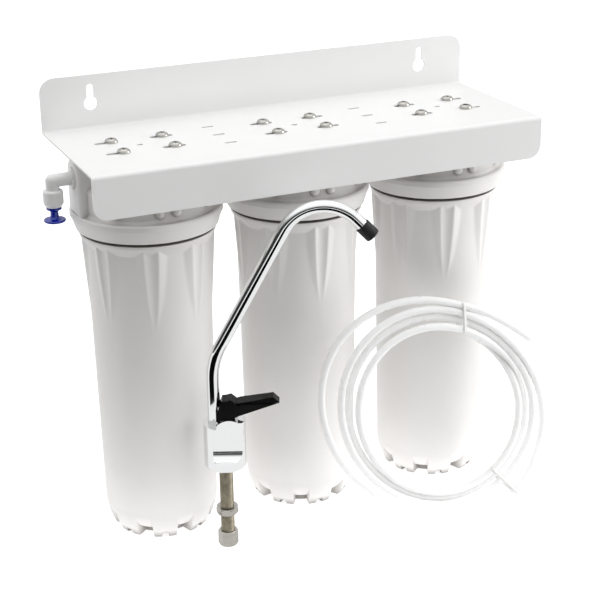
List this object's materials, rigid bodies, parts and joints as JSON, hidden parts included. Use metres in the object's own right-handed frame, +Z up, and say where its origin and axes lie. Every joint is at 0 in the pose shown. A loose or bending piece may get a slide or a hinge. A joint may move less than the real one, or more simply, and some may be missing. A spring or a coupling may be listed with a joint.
{
  "type": "under-sink drinking water filter",
  "caption": "White bracket carrying a row of screw-on water filter housings, with a chrome long-reach faucet and a coil of quarter-inch tubing.",
  "frame": {"origin": "on the floor below the middle housing's axis, centre of its ring of feet", "axes": "+X along the bracket from inlet to outlet, +Y towards the wall, +Z up"},
  "size_m": [0.4203, 0.191, 0.369],
  "materials": {
    "white_steel": "white powder coat with a fine orange peel",
    "zinc": "bright zinc plate",
    "housing_white": "satin moulded polypropylene",
    "fitting_white": "smooth moulded acetal",
    "blue_plastic": "deep blue glossy acetal",
    "black_rubber": "smooth rubber",
    "sediment_media": "spun polypropylene fibre",
    "carbon_media": "pressed carbon under netting",
    "core_plastic": "moulded plastic",
    "chrome": "polished chrome plate",
    "shank_steel": "fine rolled thread, dull plate",
    "nickel": "nickel plated brass",
    "stem_brass": "turned brass",
    "spring_steel": "drawn stainless wire",
    "black_plastic": "satin moulded plastic",
    "pe_tube": "milky polyethylene",
    "tie_clear": "clear tape band"
  },
  "bodies": {
    "filter": {"bracket_plate": "white_steel", "bracket_screws": "zinc", "cap_1": "housing_white", "cap_2": "housing_white", "cap_3": "housing_white", "stage_nipple_1_2": "fitting_white", "stage_nipple_2_3": "fitting_white", "inlet_elbow": "fitting_white", "inlet_oring": "black_rubber", "outlet_elbow": "fitting_white", "outlet_oring": "black_rubber"},
    "cartridge_1": {"cartridge_media_1": "sediment_media", "cartridge_core_1": "core_plastic", "cartridge_end_caps_1": "core_plastic", "cartridge_gaskets_1": "black_rubber"},
    "sump_1": {"sump_1": "housing_white", "sump_oring_1": "black_rubber"},
    "cartridge_2": {"cartridge_media_2": "carbon_media", "cartridge_core_2": "core_plastic", "cartridge_end_caps_2": "core_plastic", "cartridge_gaskets_2": "black_rubber"},
    "sump_2": {"sump_2": "housing_white", "sump_oring_2": "black_rubber"},
    "cartridge_3": {"cartridge_media_3": "carbon_media", "cartridge_core_3": "core_plastic", "cartridge_end_caps_3": "core_plastic", "cartridge_gaskets_3": "black_rubber"},
    "sump_3": {"sump_3": "housing_white", "sump_oring_3": "black_rubber"},
    "inlet_collet": {"inlet_collet": "blue_plastic"},
    "outlet_collet": {"outlet_collet": "blue_plastic"},
    "plug": {"inlet_plug": "blue_plastic"},
    "faucet": {"faucet_body": "chrome", "faucet_shank": "shank_steel"},
    "spout": {"spout_tube": "chrome", "spout_tip": "black_rubber", "spout_orings": "black_rubber"},
    "lever": {"lever": "black_plastic"},
    "valve": {"valve_stem": "stem_brass", "valve_washer": "black_rubber", "valve_spring": "spring_steel"},
    "lock_washer": {"lock_washer": "zinc"},
    "lock_nut": {"lock_nut": "nickel"},
    "tube_ferrule": {"tube_ferrule": "fitting_white"},
    "compression_nut": {"compression_nut": "nickel"},
    "tubing": {"tubing_coil": "pe_tube", "coil_ties": "tie_clear"}
  },
  "joints": [
    {"name": "sump_drop_1", "type": "slide", "parent": "filter", "child": "cartridge_1", "axis": [0, 0, 1], "range_m": [-0.0136, 0]},
    {"name": "sump_turn_1", "type": "hinge", "parent": "cartridge_1", "child": "sump_1", "pos_m": [-0.128, 0, 0.27], "axis": [0, 0, 1], "range_deg": [-1080, 0]},
    {"name": "sump_drop_2", "type": "slide", "parent": "filter", "child": "cartridge_2", "axis": [0, 0, 1], "range_m": [-0.0136, 0]},
    {"name": "sump_turn_2", "type": "hinge", "parent": "cartridge_2", "child": "sump_2", "pos_m": [0, 0, 0.27], "axis": [0, 0, 1], "range_deg": [-1080, 0]},
    {"name": "sump_drop_3", "type": "slide", "parent": "filter", "child": "cartridge_3", "axis": [0, 0, 1], "range_m": [-0.0136, 0]},
    {"name": "sump_turn_3", "type": "hinge", "parent": "cartridge_3", "child": "sump_3", "pos_m": [0.128, 0, 0.27], "axis": [0, 0, 1], "range_deg": [-1080, 0]},
    {"name": "inlet_collet_press", "type": "slide", "parent": "filter", "child": "inlet_collet", "axis": [0, 0, 1], "range_m": [0, 0.0007]},
    {"name": "outlet_collet_press", "type": "slide", "parent": "filter", "child": "outlet_collet", "axis": [0, 0, 1], "range_m": [0, 0.0007]},
    {"name": "plug_pull", "type": "slide", "parent": "filter", "child": "plug", "axis": [0, 0, -1], "range_m": [0, 0.02]},
    {"name": "faucet_lift", "type": "slide", "parent": "filter", "child": "faucet", "axis": [0, 0, 1], "range_m": [0, 0.06]},
    {"name": "spout_swivel", "type": "hinge", "parent": "faucet", "child": "spout", "pos_m": [-0.10215, -0.06619, 0.1], "axis": [0, 0, 1], "range_deg": [-150, 10]},
    {"name": "lever_press", "type": "hinge", "parent": "faucet", "child": "lever", "pos_m": [-0.09124, -0.07093, 0.1025], "axis": [0.3987, 0.9171, 0], "range_deg": [0, 10]},
    {"name": "valve_lift", "type": "slide", "parent": "faucet", "child": "valve", "axis": [0, 0, 1], "range_m": [0, 0.00121], "stiffness_N_per_m": 1500, "springref_m": -0.004, "deforming": ["valve_spring"]},
    {"name": "lock_washer_slide", "type": "slide", "parent": "faucet", "child": "lock_washer", "axis": [0, 0, 1], "range_m": [-0.0151, 0.0375]},
    {"name": "lock_nut_turn", "type": "hinge", "parent": "lock_washer", "child": "lock_nut", "pos_m": [-0.095, -0.0693, 0.0314], "axis": [0, 0, 1], "range_deg": [-5104, 12726]},
    {"name": "ferrule_slide", "type": "slide", "parent": "faucet", "child": "tube_ferrule", "axis": [0, 0, 1], "range_m": [-0.0078, 0]},
    {"name": "compression_nut_turn", "type": "hinge", "parent": "tube_ferrule", "child": "compression_nut", "pos_m": [-0.095, -0.0693, 0.0066], "axis": [0, 0, 1], "range_deg": [-2620, 0]},
    {"name": "tubing_lift_off", "type": "slide", "parent": "filter", "child": "tubing", "axis": [0, -0.9404, 0.3401], "range_m": [0, 0.15]}
  ],
  "couplings": [
    {"joint": "sump_drop_1", "follows": "sump_turn_1", "m_per_rad": 0.0007162},
    {"joint": "sump_drop_2", "follows": "sump_turn_2", "m_per_rad": 0.0007162},
    {"joint": "sump_drop_3", "follows": "sump_turn_3", "m_per_rad": 0.0007162},
    {"joint": "lever_press", "follows": "valve_lift", "rad_per_m": 144.2},
    {"joint": "lock_washer_slide", "follows": "lock_nut_turn", "m_per_rad": 0.00016839},
    {"joint": "ferrule_slide", "follows": "compression_nut_turn", "m_per_rad": 0.00016839}
  ]
}
